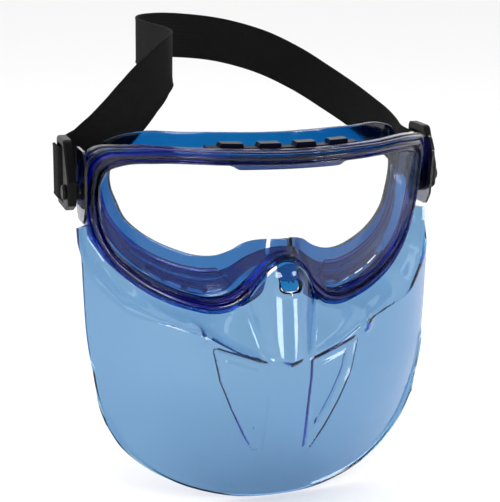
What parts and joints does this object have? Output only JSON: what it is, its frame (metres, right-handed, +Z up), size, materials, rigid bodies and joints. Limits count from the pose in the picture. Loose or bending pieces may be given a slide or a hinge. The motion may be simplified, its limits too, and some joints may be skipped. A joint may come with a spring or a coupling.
{
  "type": "safety goggles with chin shield",
  "caption": "Blue translucent safety goggles with a wrapped lens, a snap-off chin and mouth shield, and a black elastic headband on pivoting ladder-lock buckles.",
  "frame": {"origin": "on the plane of symmetry, at the height of the lens's middle, in the plane that the temple ends of the face flange rest in", "axes": "+Z up, -Y the way the wearer looks, +X to the right when the goggles are seen from the front"},
  "size_m": [0.1898, 0.2073, 0.2165],
  "materials": {
    "frame_pvc": "tinted translucent soft PVC, glossy",
    "clear_lens": "clear polycarbonate, polished",
    "dark_vent": "dark moulded plastic",
    "shield_pc": "blue transparent polycarbonate, polished",
    "smoke_plate": "smoke-grey translucent polycarbonate",
    "black_nylon": "black moulded nylon",
    "elastic_webbing": "black woven elastic"
  },
  "bodies": {
    "goggle": {"goggle_body": "frame_pvc", "lens": "clear_lens", "top_vent_cover": "dark_vent", "lower_vent_cover_left": "frame_pvc", "lower_vent_cover_right": "frame_pvc", "left_outrigger": "smoke_plate", "right_outrigger": "smoke_plate", "left_pivot_pin": "black_nylon", "right_pivot_pin": "black_nylon"},
    "shield": {"face_shield": "shield_pc"},
    "headband": {"left_buckle": "black_nylon", "right_buckle": "black_nylon", "headband": "elastic_webbing"}
  },
  "joints": [
    {"name": "shield_release", "type": "slide", "parent": "goggle", "child": "shield", "axis": [0, -0.5238, -0.8518], "range_m": [0, 0.06]},
    {"name": "headband_swing", "type": "hinge", "parent": "goggle", "child": "headband", "pos_m": [0, -0.009, 0.0155], "axis": [1, 0, 0], "range_deg": [-25, 20]}
  ]
}
